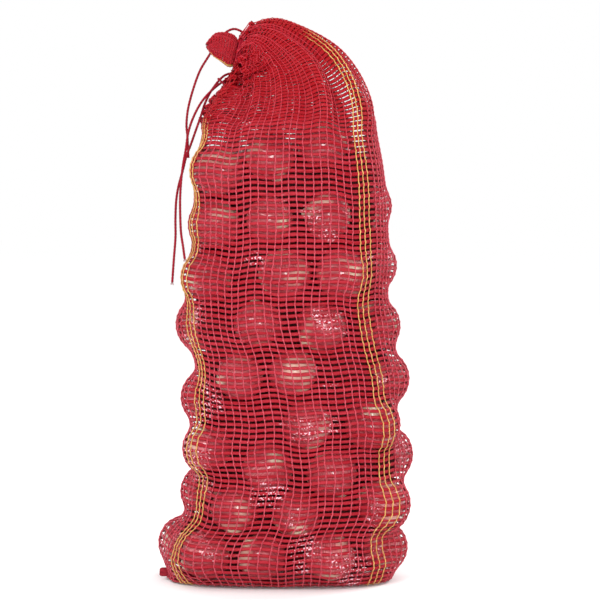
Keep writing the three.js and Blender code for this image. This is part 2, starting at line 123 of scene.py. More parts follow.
def boxy(angle, power):
    """The cosine and the sine of an angle, which a power under 1 takes from a circle towards a box."""
    return (np.sign(wave(angle)) * np.abs(wave(angle)) ** power for wave in (np.cos, np.sin))


def mesh_piece(name, vertices, quads, material, body, uv=None):
    """A smooth mesh object from vertices (N, 3) and quads (F, 4), riding on a CAD body."""
    quads = np.asarray(quads, np.int32)
    mesh = bpy.data.meshes.new(name)
    mesh.vertices.add(len(vertices))
    mesh.vertices.foreach_set("co", np.asarray(vertices, np.float32).ravel())
    mesh.loops.add(quads.size)
    mesh.loops.foreach_set("vertex_index", quads.ravel())
    mesh.polygons.add(len(quads))
    mesh.polygons.foreach_set("loop_start", np.arange(0, quads.size, 4, dtype=np.int32))
    mesh.polygons.foreach_set("use_smooth", np.ones(len(quads), bool))
    mesh.update(calc_edges=True)
    if uv is not None:
        layer = mesh.uv_layers.new(name="surface_map")
        layer.data.foreach_set("uv", np.asarray(uv, np.float32)[quads.ravel()].ravel())
    mesh.materials.append(material)
    piece = place_object(name, mesh)
    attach(piece, body)
    return piece


def loft_quads(rings, sides, closed_along=False, caps=True):
    """Quads for rings of vertices laid one after the other. The caps suit an even number of sides."""
    last = rings if closed_along else rings - 1
    ring = np.arange(last)[:, None]
    side = np.arange(sides)[None, :]
    after = (side + 1) % sides
    there = (ring + 1) % rings
    quads = np.stack(
        [ring * sides + side, ring * sides + after, there * sides + after, there * sides + side], axis=-1
    ).reshape(-1, 4)
    if closed_along or not caps:
        return quads
    ends = []
    for start, turned in ((0, True), ((rings - 1) * sides, False)):
        for pair in range(sides // 2 - 1):
            cap = [start + pair, start + pair + 1, start + sides - 2 - pair, start + sides - 1 - pair]
            ends.append(cap[::-1] if turned else cap)
    return np.vstack([quads, ends])


class Lofts:
    """Gathers many lofted threads of the same kind into one mesh."""

    def __init__(self):
        self.vertices = []
        self.quads = []
        self.count = 0

    def add(self, sections, closed_along=False):
        """sections is (rings, sides, 3)."""
        rings, sides, _ = sections.shape
        self.vertices.append(sections.reshape(-1, 3))
        self.quads.append(loft_quads(rings, sides, closed_along) + self.count)
        self.count += rings * sides

    def piece(self, name, material, body, slot):
        vertices, quads = np.vstack(self.vertices), np.vstack(self.quads)
        return mesh_piece(name, vertices, quads, material, body)


def loft_piece(name, sections, material, body, slot):
    """A mesh object of one loft."""
    lofts = Lofts()
    lofts.add(sections)
    return lofts.piece(name, material, body, slot)


def line_frames(line):
    """Two directions across a line at each point, carried along it without twisting."""
    tangents = unit(np.gradient(line, axis=0))
    side = unit(np.cross(tangents[0], [0.3, 0.9, 0.1]))
    sides = []
    for tangent in tangents:
        side = unit(side - tangent * np.dot(side, tangent))
        sides.append(side)
    sides = np.array(sides)
    return sides, np.cross(tangents, sides)


# ---- materials ----

def new_material(name, colour, roughness, **inputs):
    """A Principled material. An input's name has _ for each space."""
    material = bpy.data.materials.new(name)
    material.use_nodes = True
    shader = material.node_tree.nodes["Principled BSDF"]
    shader.inputs["Base Color"].default_value = (*colour, 1)
    shader.inputs["Roughness"].default_value = roughness
    for socket, value in inputs.items():
        shader.inputs[socket.replace("_", " ")].default_value = value
    return material


class Nodes:
    """Short calls for the procedural nodes that the materials share."""

    def __init__(self, material):
        self.tree = material.node_tree
        self.shader = self.tree.nodes["Principled BSDF"]

    def node(self, kind, inputs, output, **settings):
        """One output of a new node, whose inputs take values or other nodes' outputs."""
        made = self.tree.nodes.new(kind)
        for name, value in settings.items():
            setattr(made, name, value)
        for socket, value in inputs.items():
            if isinstance(value, bpy.types.NodeSocket):
                self.tree.links.new(value, made.inputs[socket])
            else:
                made.inputs[socket].default_value = value
        return made.outputs[output]

    def place(self, scale=(1, 1, 1), uv=False):
        """Coordinates stretched by a scale for each axis."""
        if uv:
            source = self.node("ShaderNodeUVMap", {}, "UV", uv_map="surface_map")
        else:
            source = self.node("ShaderNodeTexCoord", {}, "Object")
        return self.node("ShaderNodeMapping", {"Vector": source, "Scale": scale}, "Vector")

    def noise(self, vector, scale, detail=3.0, roughness=0.5):
        inputs = {"Vector": vector, "Scale": scale, "Detail": detail, "Roughness": roughness}
        return self.node("ShaderNodeTexNoise", inputs, "Fac")

    def ramp(self, value, stops):
        """A colour ramp from (position, colour) stops."""
        made = self.tree.nodes.new("ShaderNodeValToRGB")
        elements = made.color_ramp.elements
        while len(elements) < len(stops):
            elements.new(0.5)
        for element, (position, colour) in zip(elements, stops):
            element.position = position
            element.color = (*colour, 1)
        self.tree.links.new(value, made.inputs["Fac"])
        return made.outputs["Color"]

    def spread(self, value, low, high, ends=(0.3, 0.7)):
        """A value between two ends, which suit a noise, spread over a range."""
        inputs = {"Value": value, "From Min": ends[0], "From Max": ends[1]}
        inputs.update({"To Min": low, "To Max": high})
        return self.node("ShaderNodeMapRange", inputs, "Result")

    def share_along(self, axis, ends):
        """From 0 at the first end to 1 at the second, along an axis of the object."""
        coordinate = self.node("ShaderNodeSeparateXYZ", {"Vector": self.place()}, axis)
        return self.spread(coordinate, 0.0, 1.0, ends)

    def mix(self, factor, first, second):
        """A mix of two colours. A colour is a tuple or another node's output."""
        inputs = {"Factor": factor}
        for socket, colour in ((6, first), (7, second)):
            inputs[socket] = (*colour, 1) if isinstance(colour, tuple) else colour
        return self.node("ShaderNodeMix", inputs, 2, data_type="RGBA")

    def math(self, operation, first, second):
        return self.node("ShaderNodeMath", {0: first, 1: second}, 0, operation=operation)

    def colour(self, value):
        self.tree.links.new(value, self.shader.inputs["Base Color"])

    def roughness(self, value):
        self.tree.links.new(value, self.shader.inputs["Roughness"])

    def bump(self, height, strength, distance):
        inputs = {"Height": height, "Strength": strength, "Distance": distance}
        normal = self.node("ShaderNodeBump", inputs, "Normal")
        self.tree.links.new(normal, self.shader.inputs["Normal"])

    def grain(self, scale, detail, dark, light, roughness, bump):
        """Fine grain: it takes the colour from dark to light, and sets the roughness and the bump."""
        grain = self.noise(self.place(scale), 1.0, detail)
        self.roughness(self.spread(grain, *roughness))
        self.bump(grain, *bump)
        return self.ramp(grain, [(0.3, dark), (0.7, light)])


NECK_SHADE_HEIGHTS = (0.5, 0.6)  # between these heights the colours turn to the neck's darker, deeper red: painted shade of its crowded folds
# Painted shade colours of the crowded neck, for the tapes and the warps.
TAPE_NECK_SHADE = (0.35, 0.003, 0.007)
WARP_NECK_SHADE = (0.42, 0.005, 0.015)
TAPE_PAINTED_GLINT = (0.95, 0.6, 0.68)  # its glints: pale highlights painted into the colour
TAPE_DARK = (0.2, 0.001, 0.004)
TAPE_MIDDLE = (0.33, 0.005, 0.013)
TAPE_LIGHT = (0.5, 0.035, 0.055)
TAPE_GRAIN = (30, 30, 900)  # fine lines along the tapes, which run level round the sack
TAPE_OPACITY = 0.86


def tape_material():
    """Drawn plastic tape, thin enough to show what lies under it, with fine lines along it."""
    material = new_material(
        "netting_tape", TAPE_MIDDLE, 0.38, Alpha=TAPE_OPACITY, Specular_IOR_Level=0.1
    )
    nodes = Nodes(material)
    lines = nodes.noise(nodes.place(TAPE_GRAIN), 1.0, 4.0, 0.6)
    rows = nodes.noise(nodes.place((4, 4, 150)), 1.0, 2.0)
    colour = nodes.ramp(lines, [(0.3, TAPE_DARK), (0.5, TAPE_MIDDLE), (0.72, TAPE_LIGHT)])
    colour = nodes.mix(nodes.spread(rows, 0.0, 0.45), colour, TAPE_LIGHT)
    # Towards the neck the tape's colour turns darker and deeper red: painted shade of the crowded folds.
    neck_shade = nodes.share_along("Z", NECK_SHADE_HEIGHTS)
    colour = nodes.mix(nodes.math("MULTIPLY", neck_shade, 0.8), colour, TAPE_NECK_SHADE)
    # Sparse pale pinkish-white flecks mixed into the colour are painted glints; the same fine noise also
    # sets the roughness and the bump.
    shiny = nodes.noise(nodes.place(), 17.0, 2.0)
    flecks = nodes.noise(nodes.place(), 430.0, 2.0)
    patch = nodes.math("MAXIMUM", nodes.spread(shiny, -3.6, 1.3), 0.0)
    fleck = nodes.math("MAXIMUM", nodes.spread(flecks, -3.4, 2.0), 0.0)
    glint = nodes.math("MINIMUM", nodes.math("MULTIPLY", patch, fleck), 1.0)
    nodes.colour(nodes.mix(glint, colour, TAPE_PAINTED_GLINT))
    nodes.roughness(nodes.spread(flecks, 0.5, 0.2))
    nodes.bump(nodes.math("ADD", lines, nodes.math("MULTIPLY", flecks, 1.5)), 0.8, 0.4 * MM)
    return material


def warp_material():
    """Thin twisted warp threads, paler than the tapes."""
    material = new_material("netting_warp", (0.56, 0.05, 0.09), 0.36, Specular_IOR_Level=0.2)
    nodes = Nodes(material)
    colour = nodes.grain(scale=(900, 900, 300), detail=2.0, dark=(0.36, 0.014, 0.03),
                         light=(0.68, 0.11, 0.15), roughness=(0.28, 0.46), bump=(0.3, 0.1 * MM))
    # Towards the neck the warp's colour turns darker and deeper red: painted shade of the crowded folds.
    neck_shade = nodes.share_along("Z", NECK_SHADE_HEIGHTS)
    nodes.colour(nodes.mix(nodes.math("MULTIPLY", neck_shade, 0.75), colour, WARP_NECK_SHADE))
    return material


def marker_material(name, axis, ends):
    """Yellow yarn. Between the ends it gets lost among the red folds of the neck."""
    material = new_material(name, (0.62, 0.36, 0.09), 0.42, Specular_IOR_Level=0.2)
    nodes = Nodes(material)
    colour = nodes.grain(scale=(700, 700, 220), detail=2.0, dark=(0.48, 0.22, 0.05),
                         light=(0.78, 0.52, 0.17), roughness=(0.32, 0.52), bump=(0.3, 0.1 * MM))
    covered = nodes.spread(nodes.noise(nodes.place(), 150.0, 1.0), -0.6, 0.6)
    lost = nodes.share_along(axis, ends)
    covered = nodes.math("MAXIMUM", nodes.math("ADD", nodes.math("MULTIPLY", lost, 2.0), covered), 0.0)
    share = nodes.math("MINIMUM", nodes.math("MULTIPLY", covered, lost), 1.0)
    nodes.colour(nodes.mix(share, colour, (0.36, 0.01, 0.012)))
    return material


def cord_material():
    """Twisted plastic cord, dark red, with its fibres along it."""
    material = new_material("drawstring_cord", (0.24, 0.008, 0.02), 0.5, Specular_IOR_Level=0.1)
    nodes = Nodes(material)
    nodes.colour(nodes.grain(scale=(1200, 1200, 400), detail=3.0, dark=(0.15, 0.002, 0.007),
                             light=(0.34, 0.008, 0.024), roughness=(0.4, 0.62), bump=(0.5, 0.2 * MM)))
    return material


def hem_material():
    """The netting folded on itself, with its tapes along the hem."""
    material = new_material("hem_cloth", (0.26, 0.012, 0.025), 0.5, Specular_IOR_Level=0.12)
    nodes = Nodes(material)
    nodes.colour(nodes.grain(scale=(140, 700, 700), detail=3.0, dark=(0.14, 0.002, 0.008),
                             light=(0.36, 0.014, 0.03), roughness=(0.4, 0.6), bump=(0.6, 0.4 * MM)))
    return material


VEIN_SCALE = (60, 2.2, 1)  # fine round the bulb and long from its root to its neck
# Stops over the veins of a bulb's skin: (position, colour).
SKIN_DEEP = [(0.3, (0.18, 0.006, 0.014)), (0.5, (0.38, 0.018, 0.035)), (0.75, (0.58, 0.08, 0.1))]
SKIN_BRIGHT = [(0.3, (0.46, 0.03, 0.05)), (0.5, (0.68, 0.1, 0.13)), (0.72, (0.92, 0.42, 0.42))]
SKIN_PATCH = (0.66, 0.1, 0.11)
# Pale pinkish-cream spots: partly worn papery skin, partly painted highlights.
SKIN_WEAR_AND_HIGHLIGHT = (0.93, 0.6, 0.48)
SKIN_CREAM = (0.95, 0.78, 0.58)


def bulb_material():
    """Dry papery skin: glossy wine red with veins from root to neck, pale at both ends."""
    material = new_material("bulb_skin", (0.3, 0.05, 0.06), 0.3, Coat_Weight=0.9, Coat_Roughness=0.07,
                            Specular_IOR_Level=0.3)
    nodes = Nodes(material)
    veins = nodes.noise(nodes.place(VEIN_SCALE, uv=True), 1.0, 3.0, 0.6)
    patches = nodes.noise(nodes.place((5, 4, 1), uv=True), 1.0, 3.0)
    hue = nodes.noise(nodes.place(), 14.0, 1.0)
    deep = nodes.ramp(veins, SKIN_DEEP)
    bright = nodes.ramp(veins, SKIN_BRIGHT)
    skin = nodes.mix(nodes.spread(hue, -0.1, 1.25), deep, bright)
    skin = nodes.mix(nodes.spread(patches, 0.0, 0.3), skin, SKIN_PATCH)
    # Pale pinkish-cream spots mixed into the skin: partly worn papery skin, partly painted highlights.
    wear_and_highlight = nodes.noise(nodes.place(), 26.0, 1.0)
    wear_and_highlight = nodes.math("MAXIMUM", nodes.spread(wear_and_highlight, -2.6, 0.95), 0.0)
    skin = nodes.mix(wear_and_highlight, skin, SKIN_WEAR_AND_HIGHLIGHT)
    height = nodes.node("ShaderNodeSeparateXYZ", {"Vector": nodes.place(uv=True)}, "Y")
    wavering = nodes.math("ADD", height, nodes.spread(veins, -0.045, 0.045))
    ends = nodes.ramp(
        wavering, [(0.06, (1, 1, 1)), (0.13, (0, 0, 0)), (0.84, (0, 0, 0)), (0.93, (1, 1, 1))]
    )
    nodes.colour(nodes.mix(ends, skin, SKIN_CREAM))
    nodes.roughness(nodes.spread(patches, 0.2, 0.42))
    nodes.bump(veins, 0.4, 0.5 * MM)
    return material


def loose_skin_shade_material():
    """Dull dry skin, painted very dark: painted shade of the depth between the bulbs."""
    material = new_material("loose_skin", (0.05, 0.006, 0.008), 0.6, Specular_IOR_Level=0.15)
    nodes = Nodes(material)
    veins = nodes.noise(nodes.place(VEIN_SCALE, uv=True), 1.0, 3.0, 0.6)
    nodes.colour(nodes.ramp(veins, [(0.3, (0.02, 0.003, 0.004)), (0.75, (0.12, 0.014, 0.014))]))
    nodes.bump(veins, 0.4, 0.5 * MM)
    return material


TAPE = tape_material()
WARP = warp_material()
MARKERS = {
    "left": marker_material("marker_yarn_left", "Z", (0.53, 0.57)),
    "right": marker_material("marker_yarn_right", "X", (0.07, 0.0)),
    "mouth": marker_material("marker_yarn_mouth", "Z", (0.7, 0.8)),
}
CORD = cord_material()
HEM = hem_material()
BULB_SKIN = bulb_material()
LOOSE_SKIN_SHADE = loose_skin_shade_material()


# ---- drawstring ----

CORD_DIAMETER = 3 * MM
CORD_TWIST = 7.5 * MM  # along the cord, for one turn of its plies
CORD_PLIES = 2
CORD_GROOVE = 0.24  # depth of the grooves between the plies, as a share of the radius
CORD_RING_STEP = 0.8 * MM
STUB_WIDTH = 5 * MM
STUB_TWIST = 30 * MM
FRAY_FIBRES = 9
FIBRE_DIAMETER = 0.5 * MM
FIBRE_TWIST = 10 * MM

# The routes of part.mjs, in metres.
TAIL_LONG = np.array([
    [-30, 33, 617], [-45, 28, 615], [-60, 20, 612], [-73, 12, 607], [-86, 4, 591], [-94, -2, 575],
    [-99, -6, 559], [-105, -9, 542], [-111, -11, 525], [-116, -12, 512], [-120, -13, 496],
    [-125, -14, 478], [-128, -15, 460], [-129, -16, 438], [-129, -17, 416], [-131, -18, 390],
    [-133, -18, 363],
]) * MM
TAIL_SHORT = np.array([
    [-30, 36.5, 611.5], [-45, 31.5, 609.5], [-60, 19, 606.5], [-74, 6, 600], [-87, -4, 589],
    [-98, -9, 576], [-107, -13, 559], [-113, -18, 541], [-116, -23, 520], [-119, -28, 502],
    [-121, -32, 484], [-122, -36, 466], [-122, -39, 448], [-121, -42, 424], [-118, -50, 406],
    [-116, -54.5, 393],
]) * MM
SLACK = np.array([
    [-46, 16, 657], [-53, 20, 662], [-61, 23, 664], [-70, 24, 660], [-79, 24, 650], [-91, 22, 631],
    [-101, 19, 614], [-109, 16, 592], [-115, 14, 569], [-117, 13, 550], [-116, 13, 536],
    [-115.5, 14, 522], [-115, 15, 510],
]) * MM
STUB = np.array([[-78, -5, 604], [-72, -9, 598.5], [-67, -13, 594]]) * MM


def cord_sections(line, diameter, twist, sides=12, flat=1.0):
    """Sections of a twisted cord: the plies' grooves wind round it."""
    sides_a, sides_b = line_frames(line)
    along = lengths_along(line)[:, None]
    around = np.linspace(0, 2 * np.pi, sides, endpoint=False)[None, :]
    groove = np.abs(np.cos(CORD_PLIES / 2 * (around - 2 * np.pi * along / twist)))
    radius = diameter / 2 * (1 - CORD_GROOVE + CORD_GROOVE * np.sqrt(groove))
    return (
        line[:, None]
        + (radius * np.cos(around))[..., None] * sides_a[:, None] * flat
        + (radius * np.sin(around))[..., None] * sides_b[:, None]
    )


def cord_piece(name, route, body, replaced):
    """A twisted cord along a route. Gives the piece, its line and its length."""
    line = curve_through(route)
    total = lengths_along(line)[-1]
    line = points_at(line, np.linspace(0, total, int(total / CORD_RING_STEP)))
    sections = cord_sections(line, CORD_DIAMETER, CORD_TWIST)
    piece = loft_piece(name, sections, CORD, body, "drawstring")
    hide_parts(replaced)
    return piece, line, total


def fray(name, line):
    """A few loose fibres at a cut end."""
    end = line[-1]
    down = unit(line[-1] - line[-6])
    sides_a, sides_b = line_frames(line)
    lofts = Lofts()
    for fibre in range(FRAY_FIBRES):
        angle = 2.4 * fibre
        lean = sides_a[-1] * math.cos(angle) + sides_b[-1] * math.sin(angle)
        share = np.linspace(0, 1, 5)[:, None]
        reach = (3.5 + 0.6 * (fibre % 3)) * MM
        path = end + lean * 0.8 * MM - down * 1 * MM + down * reach * share
        path = path + lean * 0.3 * reach * share**2
        lofts.add(cord_sections(path, FIBRE_DIAMETER, FIBRE_TWIST, sides=4))
    return lofts.piece(name, CORD, "drawstring", "drawstring")


def make_drawstring():
    piece, line, length = cord_piece("tail_long", TAIL_LONG, "drawstring", "drawstring_tail_long")
    fray("tail_long_fray", line)
    piece, line, length = cord_piece("tail_short", TAIL_SHORT, "drawstring", "drawstring_tail_short")
    fray("tail_short_fray", line)
    make_stub()
    piece, line, length = cord_piece("slack_bight", SLACK, "sack", "drawstring_slack")


def make_stub():
    """The cord's flattened end, which sticks out under the tails."""
    line = curve_through(STUB)
    sections = cord_sections(line, STUB_WIDTH, STUB_TWIST, flat=0.5)
    piece = loft_piece("cord_stub", sections, CORD, "drawstring", "drawstring")
    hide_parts("drawstring_stub")
    return piece


make_drawstring()


# ---- bulbs ----

BULB_COLUMNS = 44
BULB_ROWS = 30
# Ribs and lobes round a bulb: (how many, size as a share of its radius).
BULB_RIBS = [(11, 0.006), (17, 0.004)]
BULB_LOBES = [(2, 0.022), (3, 0.012)]
BULB_NECK = (0.86, 0.97)  # heights between which the dry neck gets ragged
BULB_TOP = 0.995

# Half of a bulb's section for a radius of 1, [radius, height], from the root plate to the neck.
BULB_SECTION = [
    [0.0, -0.86], [0.10, -0.885], [0.17, -0.90], [0.24, -0.885], [0.42, -0.82], [0.66, -0.68],
    [0.86, -0.46], [0.97, -0.2], [0.985, 0.05], [0.93, 0.3], [0.79, 0.53], [0.56, 0.72],
    [0.34, 0.83], [0.2, 0.9], [0.13, 0.95], [0.11, 0.985], [0.07, 0.99], [0.0, 0.975],
]

# Which bulbs show an end to the front, and where it points: (x, y, z).
SHOWN_ENDS = {"bulb_04": (0.8, -1, -0.2), "bulb_12": (0.5, -1, 0.7), "bulb_15": (0.15, -1, -0.7)}


def bulb_axes(node, random):
    """Most of the bulbs lie with their ends turned from the front and the back."""
    drawn = random.normal(size=3) * [1, 0.45, 1]
    axis = unit(np.array(SHOWN_ENDS.get(node, drawn), float))
    side = unit(np.cross(axis, random.normal(size=3)))
    return axis, side, np.cross(axis, side)


def bulb_place(node):
    low, high = (np.array(corner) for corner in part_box(node))
    return (low + high) / 2, float((high - low).max() / 2)


def make_bulb(node, random):
    """One bulb: ribbed skin, a pinched neck with a ragged dry tip, and a root plate."""
    centre, radius = bulb_place(node)
    axis, side, across = bulb_axes(node, random)
    section = curve_through(BULB_SECTION, 8)
    total = lengths_along(section)[-1]
    section = points_at(section, np.linspace(0, total, BULB_ROWS))
    around = np.linspace(0, 2 * np.pi, BULB_COLUMNS, endpoint=False)
    phases = random.uniform(0, 2 * np.pi, 4)
    ribs = lobes = 1
    for (waves, size), phase in zip(BULB_RIBS, phases[:2]):
        ribs = ribs + size * np.cos(waves * around + phase)
    for (waves, size), phase in zip(BULB_LOBES, phases[2:]):
        lobes = lobes - size * (1 + np.cos(waves * around + phase))
    outline = np.abs(section[:, 0:1]) * (ribs * lobes)[None, :]
    near_neck = smooth_step(section[:, 1:2], *BULB_NECK)
    outline = outline * (1 + 0.35 * near_neck * np.cos(5 * around + phases[1])[None, :])
    height = section[:, 1:2] + 0.02 * near_neck * np.cos(3 * around + phases[0])[None, :]
    height = np.minimum(height, BULB_TOP)
    spokes = np.cos(around)[:, None] * side + np.sin(around)[:, None] * across
    vertices = centre + radius * (outline[..., None] * spokes[None] + height[..., None] * axis)
    share = np.repeat(np.linspace(0, 1, BULB_ROWS)[:, None], BULB_COLUMNS, axis=1)
    offset = random.uniform(0, 20)
    turn = np.abs(np.linspace(-1, 1, BULB_COLUMNS, endpoint=False))[None, :] + offset
    uv = np.stack([np.repeat(turn, BULB_ROWS, axis=0), share], axis=-1).reshape(-1, 2)
    quads = loft_quads(BULB_ROWS, BULB_COLUMNS, caps=False)
    piece = mesh_piece(node.replace("bulb", "onion"), vertices.reshape(-1, 3), quads, BULB_SKIN, "sack",
                       uv)
    weld_ends(piece)
    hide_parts(node)
    return centre, radius


def weld_ends(piece):
    """Joins the end rings, which have shrunk to points, so that the skin is closed."""
    work = bmesh.new()
    work.from_mesh(piece.data)
    bmesh.ops.remove_doubles(work, verts=work.verts, dist=1e-6)
    work.to_mesh(piece.data)
    work.free()


def make_bulbs():
    random = np.random.default_rng(7)
    nodes = sorted(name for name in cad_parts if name.startswith("bulb_"))
    places = [make_bulb(node, random) for node in nodes]
    return np.array([centre for centre, _ in places]), np.array([radius for _, radius in places])


bulb_centres, bulb_radii = make_bulbs()


# ---- loose skins ----

# The side outlines of part.mjs, [x, z], in metres.
BODY_LEFT = np.array([
    [-140, 0], [-155, 36], [-145, 66], [-125, 92], [-126, 110], [-122, 140], [-123, 225],
    [-118, 262], [-128, 312], [-125, 370], [-115, 412], [-111, 480], [-100, 548],
]) * MM
BODY_RIGHT = np.array([
    [134, 0], [149, 42], [150, 100], [153, 150], [144, 195], [149, 245], [139, 300],
    [134, 345], [134, 390], [128, 450], [123, 505], [112, 548],
]) * MM

SKIN_ROWS = 10
SKIN_COLUMNS = 6
SKIN_REACH = 43 * MM  # half of a skin's width
SKIN_STEPS = 16
SKIN_OVER_BULB = 0.5 * MM
SKIN_THICKNESS = 0.25 * MM
SKIN_CURL = (4 * MM, 9 * MM)
SKIN_LEAN = 0.35
SKIN_SCATTER = 8 * MM
SKIN_SPAN = (-96 * MM, 110 * MM)  # across the sack
SKIN_HEIGHTS = (36 * MM, 480 * MM)
SKIN_MARGIN = 17 * MM  # the skins stay this far inside the sack's sides
SKIN_DEPTH = 56 * MM  # and this near its middle plane


def clear_of_bulbs(points, gap):
    for _ in range(6):
        for centre, radius in zip(bulb_centres, bulb_radii):
            offset = points - centre
            distance = np.linalg.norm(offset, axis=-1, keepdims=True)
            points = centre + offset * np.maximum(1, (radius + gap) / distance)
    return points


def loose_skin(middle, random):
    """One dry skin that has come off: a curled petal, pressed into the space between the bulbs."""
    u, v = np.meshgrid(np.linspace(-1, 1, SKIN_STEPS), np.linspace(-1, 1, SKIN_STEPS), indexing="ij")
    rim = 1 - 0.2 * u**2 * v**2 - 0.25 * np.abs(v) ** 3 + 0.05 * np.sin(5 * u + random.uniform(0, 6))
    x = u * SKIN_REACH * rim
    z = v * SKIN_REACH * rim
    curl = random.uniform(*SKIN_CURL, size=2)
    y = curl[0] * u**2 - curl[1] * v**2 + 2 * MM * np.sin(4 * u + 3 * v + random.uniform(0, 6))
    lean = random.uniform(-SKIN_LEAN, SKIN_LEAN, size=2)
    y = y + lean[0] * x + lean[1] * z
    points = middle + np.stack([x, y, z], axis=-1)
    return clear_of_bulbs(points, SKIN_OVER_BULB)


def inside_sack(points):
    """Which points are deep enough in the sack for a loose skin."""
    left = np.interp(points[..., 2], BODY_LEFT[:, 1], BODY_LEFT[:, 0]) + SKIN_MARGIN
    right = np.interp(points[..., 2], BODY_RIGHT[:, 1], BODY_RIGHT[:, 0]) - SKIN_MARGIN
    deep = np.abs(points[..., 1]) < SKIN_DEPTH
    return deep & (points[..., 0] > left) & (points[..., 0] < right) & (points[..., 2] > SKIN_MARGIN / 2)


def make_loose_skins():
    """Skins between the bulbs: they close the gaps that one would look through, and their dark colour
    paints the shade of those gaps.
    """
    random = np.random.default_rng(21)
    vertices, quads, uv = [], [], []
    grid = loft_quads(SKIN_STEPS, SKIN_STEPS, caps=False).reshape(SKIN_STEPS - 1, SKIN_STEPS, 4)
    grid = grid[:, :-1].reshape(-1, 4)
    for z in np.linspace(*SKIN_HEIGHTS, SKIN_ROWS):
        for x in np.linspace(*SKIN_SPAN, SKIN_COLUMNS):
            middle = np.array([x, 0, z]) + random.uniform(-SKIN_SCATTER, SKIN_SCATTER, size=3)
            skin = loose_skin(middle, random).reshape(-1, 3)
            kept = inside_sack(skin)[grid].all(axis=1)
            quads.append(grid[kept] + len(vertices) * SKIN_STEPS**2)
            vertices.append(skin)
            share = np.linspace(0.25, 0.75, SKIN_STEPS)
            turn, height = np.meshgrid(share + 20 * random.random(), share, indexing="ij")
            uv.append(np.stack([turn, height], axis=-1).reshape(-1, 2))
    vertices, quads, uv = np.vstack(vertices), np.vstack(quads), np.vstack(uv)
    used, quads = np.unique(quads, return_inverse=True)
    quads = quads.reshape(-1, 4)
    piece = mesh_piece("loose_skins", vertices[used], quads, LOOSE_SKIN_SHADE, "sack", uv[used])
    solid = piece.modifiers.new("thickness", "SOLIDIFY")
    solid.thickness = SKIN_THICKNESS
    solid.offset = 0


make_loose_skins()


# ---- the netting's form ----

WARPS = 68
WEFT_PITCH = 6.7 * MM
SACK_ROUND = 704 * MM  # the flat sack is half of this wide
WARP_PITCH = SACK_ROUND / WARPS
OVER_BULB = 2.8 * MM  # from a bulb to the middle of the netting
SETTLE_ROUNDS = 220
TIGHTNESS = 0.88  # the wefts' length at rest, as a share of what the full sack stretches them to
FIRMNESS = 0.8  # how much of a thread's wrong length one round takes away
SHORTEST_WEFT = {"body": 0.85, "neck": 0.3}  # as a share of the longest that it may be
WARP_GIVE = (0.6 * WEFT_PITCH, 1.1 * WEFT_PITCH)
FOLD_DEPTH = 8 * MM
FOLD_WAVES = (6, 9, 11, 14)  # folds round the neck
FINE_FOLD_WAVES = (19, 23, 26)
FINE_FOLD_SHARE = 0.8
# How fast a point moves to the middle of its neighbours, round the sack and up it. In the neck the
# folds run along the warps.
ROUND_SMOOTHING = {"body": 0.05, "neck": 0.02}
HEIGHT_SMOOTHING = {"body": 0.035, "neck": 0.2}
CRUMPLE = 3 * MM  # size of the crumples in the neck
ROW_WAVER = 1.6 * MM
NECK_WAVER = 0.6  # how much more the rows of the neck waver
COLUMN_WAVER = 1.1 * MM
SPREAD = 4.4 * MM  # how far the threads slide apart over the crown of a bulb
SPREAD_REACH = 24 * MM
TWIST = 17 * MM
TWIST_HEIGHTS = (0.16, 0.34)
NECK_TURN = 0.07  # the neck turns on by this share of a whole turn
NEAR_STEP = 10  # rounds between two searches for the bulbs that are near
NEAR_REACH = 14 * MM
SEAM_REACH = 14 * MM
SEAM_TOP = 3.4 * MM
FLOOR_GAP = 1.2 * MM

BODY_HEIGHT = 548 * MM
HALF_DEPTH = 76 * MM
SHOULDER_HALF_DEPTH = 60 * MM
SHOULDER_START = 0.8  # as a share of the body's height
SEAM_HALF_DEPTH = 1 * MM
UNDERSIDE_HALF_DEPTH = 0.8 * HALF_DEPTH
FOOT_HEIGHT = 35 * MM  # the sack gets deeper up to here
FOOT_SWELL = 0.18
FIRST_ROW_HEIGHT = 4 * MM
CORNER_POWER = 2.6
UNDERSIDE_ROWS = 10
UNDERSIDE_ENDS = (-143 * MM, -139 * MM), (118 * MM, 132 * MM)  # left and right, first and last row
CORNER_ROWS = 5  # the rows over the floor, which keep the sack's lower corners full
# The share of its way back to the start that each round takes the settling netting.
HOLD = {"underside": 0.12, "corners": 0.02, "body": 0.0008, "neck": 0.012}
NECK_ROWS = 39
TIED_ROWS = 2  # the last rows, which the tie holds
ROWS_BELOW_NECK = 8  # the folds start this many rows below the neck
CINCH_TOP = np.array([-50, 0, 653]) * MM
CINCH_BOTTOM = np.array([-59, 0, 614]) * MM
CINCH_HALF_DEPTH = 10 * MM
NECK_AXIS = unit(np.cross(CINCH_TOP - CINCH_BOTTOM, [0, 1, 0]))

# The neck's outlines of part.mjs, [x, z], in metres.
NECK_LEFT = np.array([[-100, 548], [-87, 576], [-73, 589], [-63, 599], [-58, 609]]) * MM
NECK_RIGHT = np.array([[114, 548], [98, 592], [85, 616], [66, 640], [43, 654], [22, 665], [2, 676],
                       [-14, 679], [-30, 675], [-43, 664]]) * MM


def twist_at(z):
    """How far the netting has turned round the sack, to the right over the front."""
    return TWIST * (1 - smooth_step(z, *TWIST_HEIGHTS))


def section_ring(left, right, half_depth, shift=0.0, turn=0.0):
    """A rounded section between its left and right points, with its points evenly spaced."""
    angle = np.linspace(0, 2 * np.pi, 361)
    level, depth = boxy(angle, 2 / CORNER_POWER)
    middle = (left + right) / 2
    line = middle + level[:, None] * (right - left) / 2
    line[:, 1] -= half_depth * depth
    total = lengths_along(line)[-1]
    places = np.linspace(0, total, WARPS, endpoint=False) - shift - turn * total
    return points_at(line, places % total)


def at_height(outline, z):
    """A point of an [x, z] outline, in the sack's middle plane."""
    line = curve_through(outline)
    return np.array([np.interp(z, line[:, 1], line[:, 0]), 0, z])


def at_share(outline, share):
    """The point at a share of an [x, z] outline's length."""
    line = curve_through(outline)
    x, z = points_at(line, share * lengths_along(line)[-1])
    return np.array([x, 0, z])


